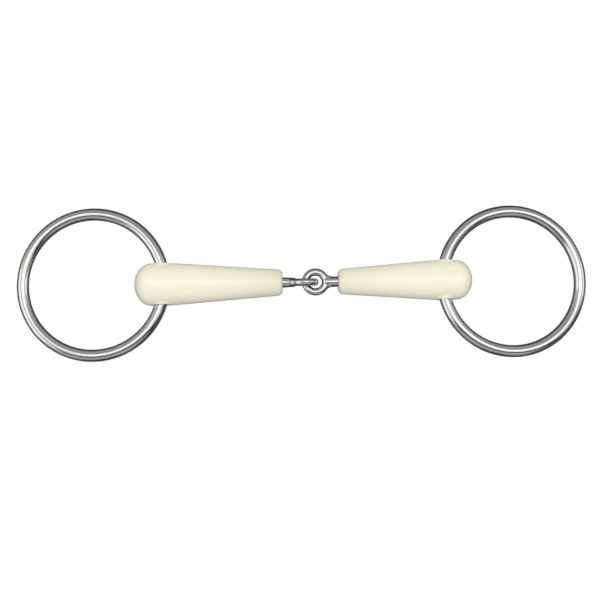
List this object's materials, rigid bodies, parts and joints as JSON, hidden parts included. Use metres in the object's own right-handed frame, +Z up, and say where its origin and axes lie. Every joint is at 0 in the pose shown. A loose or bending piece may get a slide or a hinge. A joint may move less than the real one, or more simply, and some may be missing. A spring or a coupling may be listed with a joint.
{
  "type": "snaffle bit",
  "caption": "Loose-ring snaffle bit with a single joint: two steel rings running through moulded mouthpiece arms that link at steel eyes.",
  "frame": {"origin": "on the mouthpiece's axis, midway between the two ring holes, which is the bounding box's centre; the rings rest swung 5.5 degrees to the back, the left one 0.7 mm high and the right one 0.7 mm low", "axes": "+X along the mouthpiece towards the right arm, +Y to the back (the thin direction), +Z up along the ring holes"},
  "size_m": [0.273, 0.02, 0.0746],
  "materials": {
    "ring_steel": "polished stainless steel wire",
    "core_steel": "polished stainless steel forging",
    "mouthpiece_polymer": "smooth, slightly translucent cream moulding"
  },
  "bodies": {
    "left_arm": {"left_core": "core_steel", "left_cover": "mouthpiece_polymer"},
    "right_arm": {"right_core": "core_steel", "right_cover": "mouthpiece_polymer"},
    "left_ring": {"left_ring": "ring_steel"},
    "right_ring": {"right_ring": "ring_steel"}
  },
  "joints": [
    {"name": "centre_fold", "type": "hinge", "parent": "left_arm", "child": "right_arm", "pos_m": [0.0005, 0, 0], "axis": [0, 0, 1], "range_deg": [-75, 75]},
    {"name": "left_ring_swing", "type": "hinge", "parent": "left_arm", "child": "left_ring", "pos_m": [-0.0672, 0, 0], "axis": [0, 0, 1], "range_deg": [-95, 105]},
    {"name": "right_ring_swing", "type": "hinge", "parent": "right_arm", "child": "right_ring", "pos_m": [0.0672, 0, 0], "axis": [0, 0, 1], "range_deg": [-105, 95]}
  ]
}
